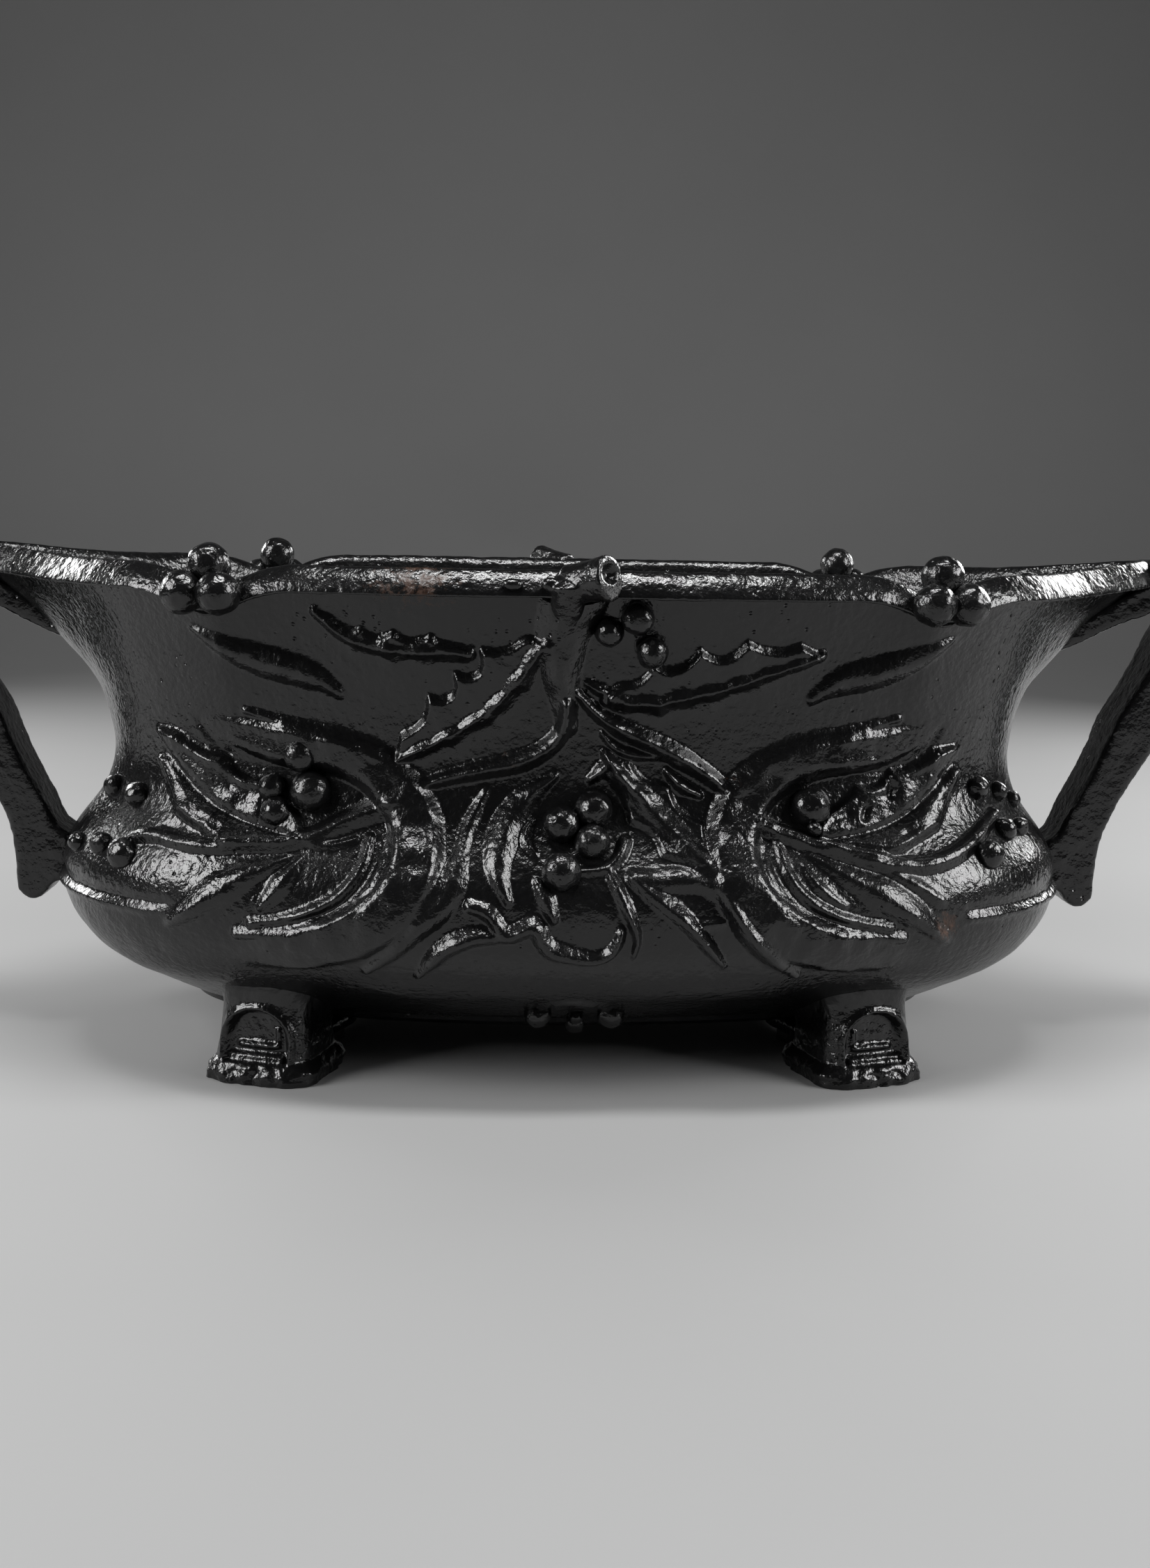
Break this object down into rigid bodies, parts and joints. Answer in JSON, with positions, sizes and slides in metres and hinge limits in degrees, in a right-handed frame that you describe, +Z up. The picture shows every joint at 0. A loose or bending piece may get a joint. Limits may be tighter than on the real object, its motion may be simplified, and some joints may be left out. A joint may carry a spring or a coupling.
{
  "type": "cast iron planter",
  "caption": "Oval cast iron planter with a lobed rim, strap handles, holly relief and short feet, holding a lift-out zinc liner.",
  "frame": {"origin": "on the floor under the centre of the planter", "axes": "X along the length between the handles, -Y to the front with the holly relief, Z up"},
  "size_m": [0.4302, 0.1802, 0.1609],
  "materials": {
    "iron": "gloss black paint on a rough casting",
    "fasteners": "dull plain steel",
    "zinc": "dull grey zinc sheet",
    "wire": "plain drawn wire"
  },
  "bodies": {
    "planter": {"front_panel": "iron", "back_panel": "iron", "left_end_panel": "iron", "right_end_panel": "iron", "base_plate": "iron", "front_left_foot": "iron", "front_right_foot": "iron", "back_left_foot": "iron", "back_right_foot": "iron", "left_handle": "iron", "right_handle": "iron", "seam_screws": "fasteners", "seam_nuts": "fasteners", "foot_screws": "fasteners", "foot_nuts": "fasteners", "handle_screws": "fasteners"},
    "liner": {"liner": "zinc", "liner_staples": "zinc"},
    "left_bail": {"left_bail": "wire"},
    "right_bail": {"right_bail": "wire"}
  },
  "joints": [
    {"name": "liner_lift", "type": "slide", "parent": "planter", "child": "liner", "axis": [0, 0, 1], "range_m": [0, 0.15]},
    {"name": "right_bail_fold", "type": "hinge", "parent": "liner", "child": "right_bail", "pos_m": [0.10969, 0, 0.1], "axis": [0, 1, 0], "range_deg": [0, 165]},
    {"name": "left_bail_fold", "type": "hinge", "parent": "liner", "child": "left_bail", "pos_m": [-0.10969, 0, 0.1], "axis": [0, -1, 0], "range_deg": [0, 165]}
  ]
}
